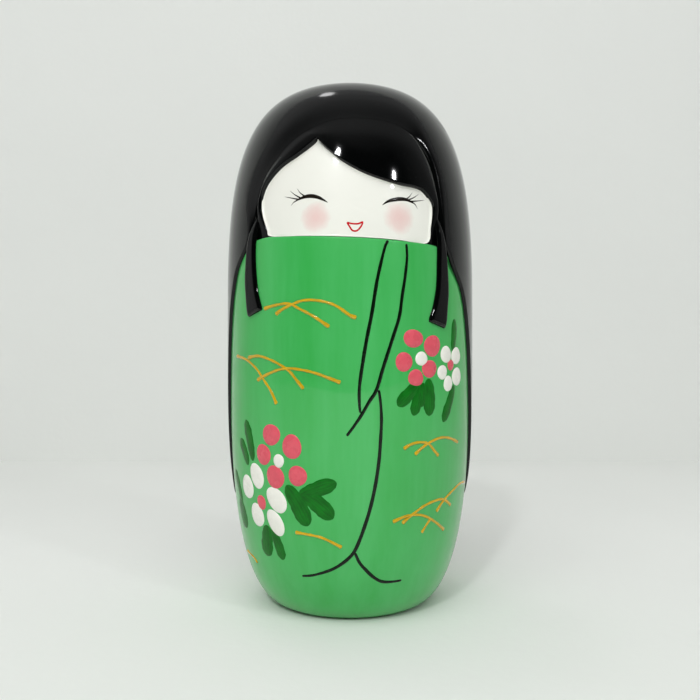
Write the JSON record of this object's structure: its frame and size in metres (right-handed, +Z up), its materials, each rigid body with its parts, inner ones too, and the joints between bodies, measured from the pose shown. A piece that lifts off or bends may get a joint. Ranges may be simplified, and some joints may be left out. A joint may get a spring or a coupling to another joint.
{
  "type": "kokeshi doll",
  "caption": "Turned and lacquered wooden kokeshi doll with a carved hood of long black hair, a set-back white face and a green kimono body.",
  "frame": {"origin": "centre of the base felt's underside, on the turning axis", "axes": "+Z up along the turning axis, the face looks along -Y, and +X is on the right as the doll is seen from the front"},
  "size_m": [0.0724, 0.0716, 0.15],
  "materials": {
    "green_lacquer": "opaque green lacquer under a clear gloss coat, on turned wood",
    "white_lacquer": "warm white lacquer under a clear gloss coat, on carved wood",
    "black_lacquer": "deep black lacquer under a clear gloss coat, on carved wood",
    "bare_wood": "bare turned hardwood",
    "black_felt": "matt black felt"
  },
  "bodies": {
    "root": {"kimono_body": "green_lacquer", "face_plate": "white_lacquer", "hair_hood": "black_lacquer", "hair_fringe": "black_lacquer", "side_lock_left": "black_lacquer", "side_lock_right": "black_lacquer", "head_block": "bare_wood", "neck_dowel": "bare_wood", "base_plug": "bare_wood", "base_felt": "black_felt"}
  },
  "joints": []
}
